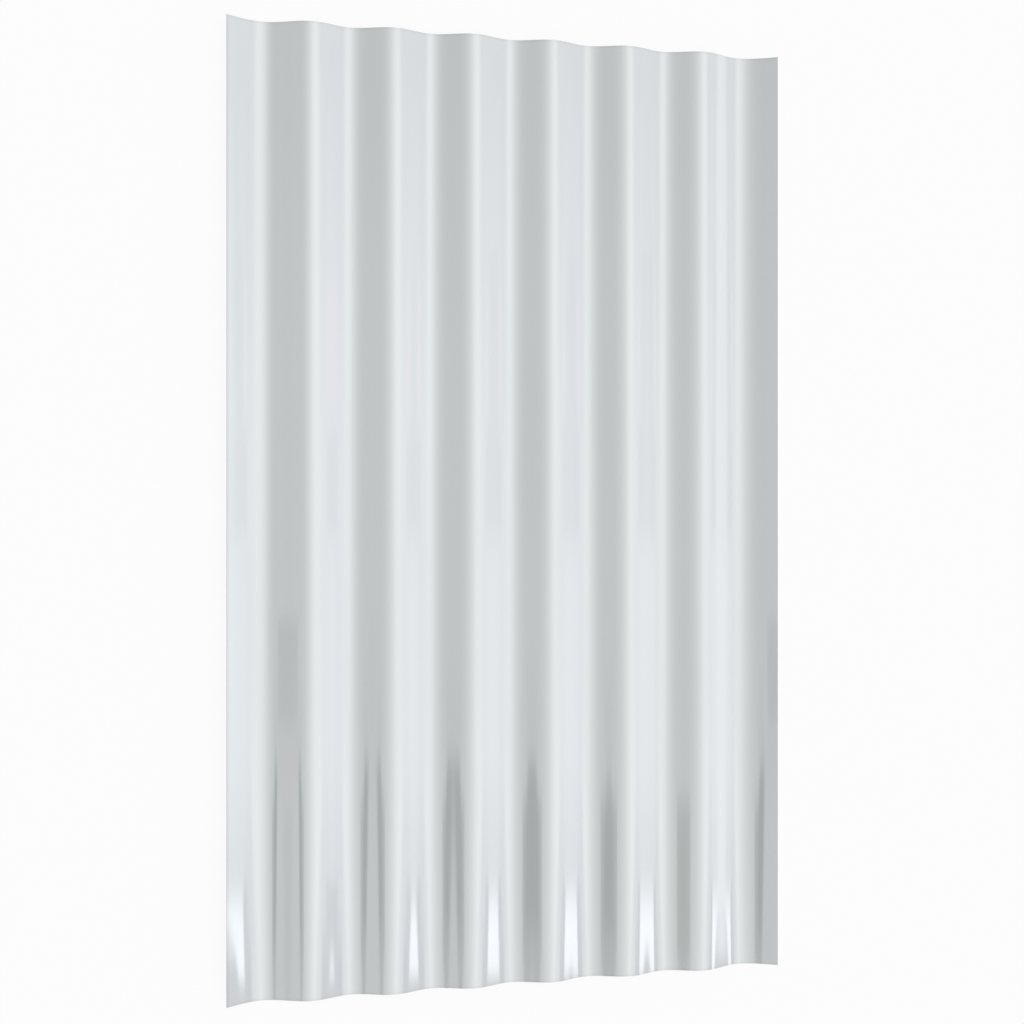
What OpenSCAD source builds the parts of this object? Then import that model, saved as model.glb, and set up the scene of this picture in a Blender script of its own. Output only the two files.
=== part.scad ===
// Corrugated steel roofing sheet, rolled as one piece.
// It lies face up with its waves along Y, centred on the origin, and its lowest valleys touch Z = 0.
// The inner waves are a plain sine. The valley beside each long edge is a little wider and deeper,
// and from it the steel climbs ever more steeply to the edge, just above the crests, to lap the next sheet.

/* [Sheet] */
// Length of the sheet, along the waves
sheet_length = 600; // [100:1:3000]
// Thickness of the steel with its coating
sheet_thickness = 0.3; // [0.2:0.05:1.2]

/* [Inner waves] */
// Number of whole waves between the two outermost crests
inner_waves = 5; // [1:1:20]
// Distance from one crest to the next
wave_pitch = 51.4; // [20:0.1:150]
// Height from an inner valley to a crest, measured on the same face
wave_depth = 7.3; // [2:0.1:40]

/* [Edge waves] */
// Distance from the outermost crest to the valley beside the edge
edge_valley_reach = 27.7; // [10:0.1:80]
// Height from that valley to the crest, measured on the same face
edge_valley_depth = 9.2; // [2:0.1:40]
// Distance from that valley to the long edge
edge_flank_reach = 24; // [8:0.1:80]
// Height from that valley to the long edge, measured on the same face
edge_flank_rise = 9.9; // [2:0.1:40]

/* [Smoothness] */
// Narrow strips that draw one wave
strips_per_wave = 48; // [16:4:96]

/* [Hidden] */

crest_height = max(wave_depth, edge_valley_depth);
outermost_crest = inner_waves * wave_pitch / 2;

// How far the steel has dropped below the crests at a distance before the outermost crest
function inner_drop(before) = wave_depth / 2 * (1 - cos(360 * before / wave_pitch));

// How far it has dropped at a distance past the outermost crest: half a wave down, a quarter wave up
function edge_drop(past) =
    past < edge_valley_reach
    ? edge_valley_depth / 2 * (1 - cos(180 * past / edge_valley_reach))
    : edge_valley_depth - edge_flank_rise * (1 - cos(90 * (past - edge_valley_reach) / edge_flank_reach));

// Height of the middle of the steel at a distance across the sheet
function mid_height(across) =
    let (past = abs(across) - outermost_crest)
    sheet_thickness / 2 + crest_height - (past < 0 ? inner_drop(past) : edge_drop(past));

// Angle at which the steel climbs there, taken over a very short step
slope_step = 0.01;
function climb(across) =
    atan((mid_height(across + slope_step) - mid_height(across - slope_step)) / (2 * slope_step));

// Point of the section that lies off the middle of the steel, square to it
function section_point(across, off) =
    [across - off * sin(climb(across)), mid_height(across) + off * cos(climb(across))];

// Distances across the sheet at which the section has points, from the left edge to the right edge
inner_stations = [
    for (i = [0 : inner_waves * strips_per_wave]) i * wave_pitch / strips_per_wave - outermost_crest
];
fall_strips = ceil(strips_per_wave / 2);
rise_strips = ceil(fall_strips * edge_flank_reach / edge_valley_reach);
edge_stations = concat(
    [for (i = [1 : fall_strips]) outermost_crest + i * edge_valley_reach / fall_strips],
    [for (i = [1 : rise_strips]) outermost_crest + edge_valley_reach + i * edge_flank_reach / rise_strips]
);
stations = concat(
    [for (i = [len(edge_stations) - 1 : -1 : 0]) -edge_stations[i]],
    inner_stations,
    edge_stations
);

// The section: the weather face from left to right, then the underside back again
module wave_section() {
    half = sheet_thickness / 2;
    last = len(stations) - 1;
    weather_face = [for (across = stations) section_point(across, half)];
    underside = [for (i = [last : -1 : 0]) section_point(stations[i], -half)];
    polygon(concat(weather_face, underside));
}

module corrugated_sheet() {
    color([0.85, 0.87, 0.88])
        rotate([90, 0, 0])
            linear_extrude(height = sheet_length, center = true)
                wave_section();
}

corrugated_sheet();
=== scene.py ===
# %% [markdown]
# A corrugated steel sheet, dressed for its picture
#
# The object is one piece of thin steel that was rolled into waves, coated silver grey and cut to length.
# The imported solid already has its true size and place, and this lesson gives it its finish: a smooth skin
# in place of the solid's flat strips, a glossy coat, bare steel where the shears cut it, and a plain soft
# studio whose light and dark sides the gloss can show.

# %% Load the frame
import math

import bmesh
import bpy
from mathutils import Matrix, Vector


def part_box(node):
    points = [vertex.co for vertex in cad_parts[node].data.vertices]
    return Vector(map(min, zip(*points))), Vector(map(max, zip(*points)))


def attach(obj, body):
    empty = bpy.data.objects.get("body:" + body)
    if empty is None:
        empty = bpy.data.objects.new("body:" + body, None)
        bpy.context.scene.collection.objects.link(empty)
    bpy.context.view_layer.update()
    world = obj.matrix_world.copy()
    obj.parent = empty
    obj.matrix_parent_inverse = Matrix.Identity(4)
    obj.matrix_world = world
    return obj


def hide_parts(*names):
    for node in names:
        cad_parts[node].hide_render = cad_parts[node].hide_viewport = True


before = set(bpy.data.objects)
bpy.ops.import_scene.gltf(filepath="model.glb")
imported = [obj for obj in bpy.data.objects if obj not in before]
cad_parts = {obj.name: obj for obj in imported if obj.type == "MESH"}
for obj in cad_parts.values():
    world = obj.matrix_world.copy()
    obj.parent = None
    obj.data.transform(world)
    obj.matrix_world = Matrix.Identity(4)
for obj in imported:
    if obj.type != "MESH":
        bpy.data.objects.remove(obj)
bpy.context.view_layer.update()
MM = 0.001
NODE = "corrugated_sheet"
node_low, node_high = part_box(NODE)
sheet_length = node_high.y - node_low.y
print(f"solid: {(node_high.x - node_low.x) / MM:.1f} wide, {sheet_length / MM:.1f} long,"
      f" {(node_high.z - node_low.z) / MM:.2f} mm high")

# %% [markdown]
# The wave section
#
# A roll former bends flat strip into waves, one pair of rolls after another. The inner waves come out as
# a plain sine. The valley beside each long edge is a little wider and deeper, and from it the steel climbs
# ever more steeply, as a quarter of a larger wave, to the edge that the next sheet will lap.
# One function that gives the height at any distance across the sheet says all of this, and it shapes
# the skin.

# %% Describe the wave
thickness = 0.3 * MM
inner_waves = 5
wave_pitch = 51.4 * MM
wave_depth = 7.3 * MM
edge_valley_reach = 27.7 * MM
edge_valley_depth = 9.2 * MM
edge_flank_reach = 24.0 * MM
edge_flank_rise = 9.9 * MM

outermost_crest = inner_waves * wave_pitch / 2
half_width = outermost_crest + edge_valley_reach + edge_flank_reach
crest_height = thickness / 2 + edge_valley_depth


def middle_height(across):
    """Height of the middle of the steel at a distance across the sheet."""
    past = abs(across) - outermost_crest
    if past < 0:
        drop = wave_depth / 2 * (1 - math.cos(2 * math.pi * past / wave_pitch))
    elif past < edge_valley_reach:
        drop = edge_valley_depth / 2 * (1 - math.cos(math.pi * past / edge_valley_reach))
    else:
        turn = math.pi / 2 * (past - edge_valley_reach) / edge_flank_reach
        drop = edge_valley_depth - edge_flank_rise * (1 - math.cos(turn))
    return crest_height - drop


print(f"section: {2 * half_width / MM:.1f} mm wide, edge {middle_height(half_width) / MM:.2f} mm"
      f" and middle valley {middle_height(0) / MM:.2f} mm above the floor")

# %% [markdown]
# The skin
#
# The solid is drawn with narrow flat strips, and gloss shows every one of them as a stripe. So the sheet
# is made again as a fine smooth-shaded mesh of the same size. A grid is the natural start, because the
# sheet is a rectangle that bends only one way: its rows are lifted onto the wave, it is pushed out by half
# the thickness, and solidify gives it the other face and the cut rim.

# %% Lift a flat grid onto the wave
strips_across, strips_along = 450, 60
shell = bmesh.new()
bmesh.ops.create_grid(shell, x_segments=strips_across, y_segments=strips_along, size=0.5)
bmesh.ops.scale(shell, vec=(2 * half_width, sheet_length, 1), verts=shell.verts)
for vert in shell.verts:
    vert.co.z = middle_height(vert.co.x)
shell.normal_update()
for vert in shell.verts:
    across_normal = Vector((vert.normal.x, 0, vert.normal.z)).normalized()
    vert.co += across_normal * thickness / 2
bmesh.ops.solidify(shell, geom=shell.faces[:], thickness=thickness)
shell.normal_update()
print(f"shell: {len(shell.faces)} faces, {shell.calc_volume(signed=True) / MM**3:.0f} mm3")

# %% [markdown]
# The cut rim
#
# Shears leave the four edges square, with the coat cut through and the corner of the steel rounded by a
# hair. The rim takes a second material for the bare steel, and a very small bevel so that it catches a
# thin line of light. Every edge of that bevel is marked sharp. If it were left smooth, the turn at the rim
# would leak into the first row of broad faces and draw a false shade along both ends.

# %% Round and mark the rim
COAT, STEEL = 0, 1
rim_round = 0.05 * MM
smooth_turn = math.radians(15)
square_turn = math.radians(60)
broad_face_up = 0.8
rim_edges = [edge for edge in shell.edges if edge.calc_face_angle(0) > square_turn]
bmesh.ops.bevel(shell, geom=rim_edges, offset=rim_round, offset_type="OFFSET", segments=2, profile=0.5,
                affect="EDGES", material=-1, clamp_overlap=True)
shell.normal_update()
for face in shell.faces:
    face.smooth = True
    face.material_index = COAT if abs(face.normal.z) > broad_face_up else STEEL
for edge in shell.edges:
    edge.smooth = edge.calc_face_angle(0) < smooth_turn
skin = bpy.data.meshes.new("sheet")
shell.to_mesh(skin)
shell.free()
sheet = bpy.data.objects.new("sheet", skin)
bpy.context.scene.collection.objects.link(sheet)
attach(sheet, "root")
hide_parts(NODE)
print(f"sheet: {len(rim_edges)} rim edges rounded, {len(skin.polygons)} faces")

# %% [markdown]
# Shader maths in plain Python
#
# Node trees are easier to read as sums than as boxes and wires. This small class wraps one output socket.
# Adding or multiplying two of them adds the Math node that does it, and every other node comes from one
# method that takes its type, its settings, and the values or links of its sockets.

# %% Wrap a socket


class Flow:
    """A value, colour or shader on its way through a node tree."""

    def __init__(self, tree, socket):
        self.tree, self.socket = tree, socket

    @classmethod
    def node(cls, tree, kind, settings=None, sockets=None, output=0):
        """Add one node, set it, fill or link its sockets, and follow one of its outputs."""
        node = tree.nodes.new(kind)
        for name, value in (settings or {}).items():
            setattr(node, name, value)
        for key, value in (sockets or {}).items():
            if isinstance(value, cls):
                tree.links.new(value.socket, node.inputs[key])
            else:
                node.inputs[key].default_value = value
        return cls(tree, node.outputs[output]) if node.outputs else None

    def math(self, operation, first, second):
        return Flow.node(self.tree, "ShaderNodeMath", {"operation": operation}, {0: first, 1: second})

    def __add__(self, other):
        return self.math("ADD", self, other)

    def __sub__(self, other):
        return self.math("SUBTRACT", self, other)

    def __rsub__(self, other):
        return self.math("SUBTRACT", other, self)

    def __mul__(self, other):
        return self.math("MULTIPLY", self, other)

    __radd__, __rmul__ = __add__, __mul__

    def most(self, other):
        return self.math("MAXIMUM", self, other)

    def least(self, other):
        return self.math("MINIMUM", self, other)

    def turn(self, low, high, before, after):
        """One level below low, another above high, and a soft S curve between them."""
        return Flow.node(self.tree, "ShaderNodeMapRange", {"interpolation_type": "SMOOTHSTEP"}, {
            "Value": self, "From Min": low, "From Max": high, "To Min": before, "To Max": after})

    def rise(self, low, high):
        return self.turn(low, high, 0.0, 1.0)

    def fall(self, low, high):
        return self.turn(low, high, 1.0, 0.0)

    def parts(self):
        """The X, Y and Z of a vector."""
        return [Flow.node(self.tree, "ShaderNodeSeparateXYZ", None, {0: self}, axis) for axis in "XYZ"]


def new_tree(owner):
    """An empty node tree for a material or a world."""
    owner.use_nodes = True
    owner.node_tree.nodes.clear()
    return owner.node_tree


def blend(tree, cover, under, over):
    """One colour over another, as far as the cover goes."""
    return Flow.node(tree, "ShaderNodeMix", {"data_type": "RGBA"},
                     {"Factor": cover, "A": under, "B": over}, 2)


def grain(tree, per_metre, detail=2.0):
    """Noise on the piece's own coordinates, with its own number of bumps per metre along X, Y and Z."""
    place = Flow.node(tree, "ShaderNodeTexCoord", output="Object")
    scaled = Flow.node(tree, "ShaderNodeMapping", None, {"Vector": place, "Scale": per_metre})
    return Flow.node(tree, "ShaderNodeTexNoise", None, {"Vector": scaled, "Scale": 1.0, "Detail": detail})


# %% [markdown]
# The silver coat
#
# The sheet wears a thin baked coat with fine metal pigment in it. It is pale, a little cool, and glossy
# enough to mirror the studio, yet it also scatters light as paint does. A Principled shader that is about
# a third metal gives both at once. Close up, three faint traces break it: roll lines that run the length
# of the sheet, the slight orange peel of a baked coat, and a cloudiness of the pigment. They are kept so
# faint that the waves still carry clean, straight reflections. Along both ends and the left edge, but not
# the right, the last millimetre or two has a painted shade: the coat's colour is mixed a little towards
# black.

# %% Mix the coat
coat_pale = (0.757, 0.792, 0.799, 1)
coat_deep = (0.727, 0.761, 0.768, 1)
painted_shade_black = (0, 0, 0, 1)
coat_metal = 0.32
coat_gloss, gloss_spread = 0.055, 0.04
cloud_share = 0.7
roll_line_height = 0.25e-6
peel_height = 0.4e-6
# Painted shade along both ends and the left edge: where it is full, where it is gone, and how dark it gets.
edge_shade_full, edge_shade_gone = 0.9 * MM, 2.0 * MM
end_edge_shade, left_edge_shade = 0.05, 0.11

coat = bpy.data.materials.new("silver_coat")
tree = new_tree(coat)
clouds = grain(tree, (14, 5, 14))
roll_lines = grain(tree, (900, 2.5, 900), detail=3.0)
peel = grain(tree, (260, 260, 260))
flakes = grain(tree, (5200, 5200, 5200), detail=1.0)
colour = blend(tree, clouds * cloud_share + flakes * (1 - cloud_share), coat_deep, coat_pale)

across, along = Flow.node(tree, "ShaderNodeTexCoord", output="Object").parts()[:2]
to_end = sheet_length / 2 - along.most(-1 * along)
to_left = half_width + across
# Painted shade: near both ends and the left edge the coat's colour is mixed towards black, and the right edge
# is left as it is.
painted_edge_shade = to_end.turn(edge_shade_full, edge_shade_gone, end_edge_shade, 0.0).most(
    to_left.turn(edge_shade_full, edge_shade_gone, left_edge_shade, 0.0))
colour = blend(tree, painted_edge_shade, colour, painted_shade_black)

relief = roll_lines * roll_line_height + peel * peel_height
normal = Flow.node(tree, "ShaderNodeBump", None, {"Height": relief, "Strength": 1.0, "Distance": 1.0})
gloss = coat_gloss - gloss_spread / 2 + roll_lines * gloss_spread
finish = Flow.node(tree, "ShaderNodeBsdfPrincipled", None, {
    "Base Color": colour, "Metallic": coat_metal, "Roughness": gloss, "Normal": normal})
Flow.node(tree, "ShaderNodeOutputMaterial", None, {"Surface": finish})
print(f"coat: {len(tree.nodes)} nodes")

# %% [markdown]
# Bare steel at the rim
#
# Where the shears went through, the grey core of the steel shows, a third of a millimetre wide. It is all
# metal and dull, with fine marks across the thickness that the blade left.

# %% Mix the cut steel
steel_bright = (0.60, 0.61, 0.62, 1)
steel_dull = (0.44, 0.45, 0.46, 1)
steel_gloss, steel_gloss_spread = 0.3, 0.2
shear_mark_height = 6e-6

steel = bpy.data.materials.new("cut_steel")
tree = new_tree(steel)
shear_marks = grain(tree, (3000, 3000, 200), detail=3.0)
colour = blend(tree, shear_marks, steel_dull, steel_bright)
relief = shear_marks * shear_mark_height
normal = Flow.node(tree, "ShaderNodeBump", None, {"Height": relief, "Strength": 1.0, "Distance": 1.0})
gloss = steel_gloss + shear_marks * steel_gloss_spread
finish = Flow.node(tree, "ShaderNodeBsdfPrincipled", None, {
    "Base Color": colour, "Metallic": 1.0, "Roughness": gloss, "Normal": normal})
Flow.node(tree, "ShaderNodeOutputMaterial", None, {"Surface": finish})
for material in (coat, steel):
    skin.materials.append(material)
print(f"steel: {len(tree.nodes)} nodes")

# %% [markdown]
# The studio
#
# Gloss only looks like gloss when it has something to mirror. The studio is one large soft dome: dim on
# the left, brightest a little right of overhead, and a pale fill on the right, which gives each wave its
# dark flank, its two bright lines and its light flank. Further cells hang a few cards on it. All of it is
# one function of the direction that a ray leaves in, so it needs no lamps and has no edges to flicker.

# %% Light the dome
left_fill, key_light, right_fill = 0.580, 1.286, 1.103
left_end_lift, right_end_lift = 0.04, 0.10
overhead_dip = 0.03
cards_leave = 0.98
far_key, far_shade, far_card_shade, far_left_shade = 0.06, 0.25, 0.15, 0.06

studio = bpy.data.worlds.new("studio")
bpy.context.scene.world = studio
tree = new_tree(studio)
toward = Flow.node(tree, "ShaderNodeTexCoord", output="Generated")
right, far = toward.parts()[:2]


def band(start, full, fade, end):
    """A soft-sided band from left to right across the dome."""
    return right.rise(start, full) * right.fall(fade, end)


glow = right.turn(-0.53, 0.48, left_fill, key_light) + right.turn(-0.66, -0.57, left_end_lift, 0.0)
glow = glow + right.turn(0.4, 0.9, 0.0, right_fill - key_light) + right.turn(0.92, 0.965, 0.0, right_end_lift)
glow = glow - overhead_dip * band(-0.12, 0.0, 0.15, 0.25)
glow = glow + far.turn(-0.12, 0.12, 0.0, far_key) * band(-0.05, 0.2, 0.5, 0.68)
glow = glow - far.turn(0.0, 0.31, 0.0, far_shade) * band(0.4, 0.65, 0.9, 0.94)
glow = glow - far.turn(0.23, 0.32, 0.0, far_card_shade) * band(0.36, 0.46, 0.62, 0.74)
glow = glow - far.turn(0.12, 0.28, 0.0, far_left_shade) * right.fall(-0.3, 0.1)
plain_glow = glow * cards_leave
print(f"dome: {len(tree.nodes)} nodes")

# %% [markdown]
# The faint cards
#
# A card is a soft-edged patch of the dome, placed by the parts of the direction towards it: its left and
# right edges across the sheet, and its near and far edges along it. A faint card only lifts or shades the
# dome behind it. Four of them stand low on the left and draw the grey marks on the dark flanks, and three
# stand on the right and break up the light flanks.
# Cards this small matter to gloss alone. So only mirrored rays see them, and all others see the plain dome,
# a fiftieth dimmer for the light that the cards would take. That makes the picture far quicker to render.

# %% Hang the faint cards
OPEN = None


def card(edges, softness, level=1.0):
    """A soft-edged card on the dome. An open side has no edge."""
    left_edge, right_edge, near_edge, far_edge = edges
    soft_across, soft_along = softness
    cover = (far.turn(near_edge - soft_along, near_edge + soft_along, 0.0, level)
             * far.fall(far_edge - soft_along, far_edge + soft_along))
    if left_edge is not OPEN:
        cover = cover * right.rise(left_edge - soft_across, left_edge + soft_across)
    if right_edge is not OPEN:
        cover = cover * right.fall(right_edge - soft_across, right_edge + soft_across)
    return cover


faint_cards = {
    "left veil": ((-0.575, -0.470, -0.151, -0.100), (0.016, 0.020), -0.06),
    "left bar": ((OPEN, -0.615, -0.126, -0.065), (0.012, 0.005), -0.21),
    "shade under the left bar": ((OPEN, -0.605, -0.172, -0.126), (0.012, 0.012), -0.06),
    "left corner": ((OPEN, -0.703, -0.350, -0.178), (0.015, 0.010), -0.12),
    "right bar": ((0.790, 0.935, -0.012, 0.045), (0.020, 0.012), -0.12),
    "shade over the right bar": ((0.850, 0.930, 0.045, 0.155), (0.012, 0.012), -0.08),
    "right glow": ((0.785, 0.890, 0.070, 0.240), (0.020, 0.020), 0.05),
}
for edges, softness, change in faint_cards.values():
    glow = glow + card(edges, softness, change)
print(f"faint cards: {', '.join(faint_cards)}")

# %% [markdown]
# The dark card
#
# The dark streaks in pairs at the near end come from one large dark card that leans, so its left side is a
# slanted line and one of its corners is cut away. It has a grey rim and a nearly black middle, and each of
# them is painted over the dome, where a faint card only changes it.

# %% Lean the dark card
rim_grey, side_grey, middle_black = 0.28, 0.23, 0.04
lean, corner_lean = 0.55, 1.27


def paint(under, level, cover):
    """Lay one level of light over the dome where the cover is 1."""
    return under + (level - under) * cover


leaning = (right + lean * far).rise(-0.688, -0.642)
cut_corner = (right + corner_lean * far).fall(-0.725, -0.66)
rim_cover = leaning * card((-0.600, -0.420, -0.292, -0.240), (0.020, 0.012))
side_cover = leaning * card((-0.600, -0.368, -0.264, -0.173), (0.022, 0.014))
middle_cover = leaning * card((-0.620, -0.445, -0.246, -0.150), (0.018, 0.014)) * cut_corner
for level, cover in ((rim_grey, rim_cover), (side_grey, side_cover), (middle_black, middle_cover)):
    glow = paint(glow, level, cover)
print(f"dark card: levels {rim_grey}, {side_grey} and {middle_black}")

# %% [markdown]
# The low side of the dome
#
# Towards the near end the dome darkens to a low band whose upper edge slants, as a bench seen from the side
# would. A pale stripe runs along that edge, and the dome is a little lighter beside it.

# %% Darken the low side
near_lift, right_lift, stripe_lift = 0.08, 0.07, 0.07
band_shade, band_shade_right, deep_shade = 0.22, 0.15, 0.40
edge_slant, corner_slant = 0.30, 0.15
corner_start, corner_end = 0.61, 0.7

low = far.rise(-0.42, -0.32)
past_corner = right.most(corner_start).least(corner_end) - corner_start
slant = far - edge_slant * right.least(corner_end) - corner_slant * past_corner
stripe = slant.rise(-0.39, -0.36) * slant.fall(-0.34, -0.27)
shade = right.turn(0.70, 0.80, band_shade, band_shade_right)
glow = glow + near_lift * low * far.fall(-0.28, -0.20) * band(-0.40, -0.25, 0.25, 0.45)
glow = glow + right_lift * low * far.fall(-0.05, 0.0) * right.rise(0.80, 0.84)
glow = glow + stripe * card((0.34, 0.66, -0.40, -0.10), (0.06, 0.04), stripe_lift)
glow = glow - shade * low * slant.fall(-0.435, -0.365) * right.fall(0.92, 0.95)
glow = glow - deep_shade * low * slant.fall(-0.50, -0.445) * right.fall(0.80, 0.82)
print(f"low side: {len(tree.nodes)} nodes so far")

# %% [markdown]
# The white card
#
# The pointed white streaks at the near end mirror one small bright card low on the right. Its two sides lean
# towards each other, which gives the streaks their points, and it stands before a grey one that gives them
# their crisp edges. A last small grey card stands left of it.

# %% Hang the white card
small_grey, backing_grey, card_white = 0.64, 0.52, 1.80
right_side_lean = 1.7

backing = card((0.800, OPEN, -0.450, -0.260), (0.008, 0.006))
white_sides = (right - far).rise(1.057, 1.081) * (right - right_side_lean * far).fall(1.319, 1.343)
white_ends = far.rise(-0.2785, -0.2665) * far.fall(-0.245, -0.213)
glow = paint(glow, small_grey, card((0.763, 0.825, -0.262, -0.219), (0.012, 0.008)))
glow = paint(glow, backing_grey, backing)
glow = paint(glow, card_white, white_sides * white_ends)
print(f"white card: level {card_white}")

# %% [markdown]
# The tints
#
# The light is nearly neutral. Its right side is a little cool, and a few of the cards have a trace of
# colour, which the coat mirrors as a blush in its bands and streaks.

# %% Tint the light
daylight, cool, rosy = (1, 1, 1.001, 1), (1.006, 1, 1.041, 1), (1.10, 1, 1.06, 1)
olive, blush, lavender = (0.99, 1, 0.80, 1), (1.04, 1, 1.01, 1), (1.04, 1, 1.09, 1)

plain_tint = blend(tree, right.rise(0.45, 0.75), daylight, cool)
tint = plain_tint
for hue, cover in (
    (rosy, card((0.770, 0.840, 0.060, 0.140), (0.015, 0.015))),
    (rosy, card((OPEN, -0.660, -0.178, -0.135), (0.015, 0.010))),
    (blush, low * far.fall(-0.275, -0.255) * band(-0.60, -0.50, 0.0, 0.2)),
    (olive, leaning * card((-0.600, -0.360, -0.260, -0.190), (0.020, 0.015))),
    (lavender, backing * right.rise(0.88, 0.91)),
):
    tint = blend(tree, cover, tint, hue)
plain_light = Flow.node(tree, "ShaderNodeBackground", None, {"Color": plain_tint, "Strength": plain_glow})
card_light = Flow.node(tree, "ShaderNodeBackground", None, {"Color": tint, "Strength": glow})
in_gloss = Flow.node(tree, "ShaderNodeLightPath", output="Is Glossy Ray")
light = Flow.node(tree, "ShaderNodeMixShader", None, {0: in_gloss, 1: plain_light, 2: card_light})
Flow.node(tree, "ShaderNodeOutputWorld", None, {"Surface": light})
print(f"studio: {len(tree.nodes)} nodes")

# %% [markdown]
# The floor
#
# The sheet lies on a plain white floor. A floor that is only lit looks grey next to a pale sheet, so rays
# from the camera and from glossy or clear surfaces see it mostly as plain white, and a small share of true
# shading stays in to keep the sheet's soft shadow.

# %% Lay the floor
floor_side = 12.0
floor_white = 0.9
paper_grey = (0.9, 0.9, 0.9, 1)

slab = bmesh.new()
bmesh.ops.create_grid(slab, x_segments=1, y_segments=1, size=floor_side / 2)
floor_mesh = bpy.data.meshes.new("floor")
slab.to_mesh(floor_mesh)
slab.free()
floor = bpy.data.objects.new("floor", floor_mesh)
bpy.context.scene.collection.objects.link(floor)

paper = bpy.data.materials.new("floor_white")
tree = new_tree(paper)
seen, mirrored, through = [Flow.node(tree, "ShaderNodeLightPath", output=ray) for ray in
                           ("Is Camera Ray", "Is Glossy Ray", "Is Transmission Ray")]
lit = Flow.node(tree, "ShaderNodeBsdfDiffuse", None, {"Color": paper_grey})
white = Flow.node(tree, "ShaderNodeEmission", None, {"Color": (1, 1, 1, 1), "Strength": 1.0})
shown = Flow.node(tree, "ShaderNodeMixShader", None,
                  {0: floor_white * seen.most(mirrored).most(through), 1: lit, 2: white})
Flow.node(tree, "ShaderNodeOutputMaterial", None, {"Surface": shown})
floor_mesh.materials.append(paper)
print(f"floor: {floor_side:.0f} m square")

# %% [markdown]
# The camera
#
# The camera looks down on the sheet from about a metre, from a little left of its middle, so that its left
# side stands larger in the picture and the waves at both ends show their outline. Its place, turn and lens
# come from lining up the sheet's four edges with the reference picture.

# %% Place the camera
eye_place = (-0.27142, -0.0006, 1.01038)
eye_turn = math.radians(-15.089)

eye = bpy.data.cameras.new("camera")
eye.sensor_width = 36.0
eye.lens = 57.64
eye.clip_start, eye.clip_end = 0.01, 100.0
camera = bpy.data.objects.new("camera", eye)
camera.location = eye_place
camera.rotation_euler = (0, eye_turn, 0)
bpy.context.scene.collection.objects.link(camera)
bpy.context.scene.camera = camera
bpy.context.scene.view_settings.view_transform = "Standard"
print(f"camera: {camera.location.length:.3f} m from the middle of the sheet")
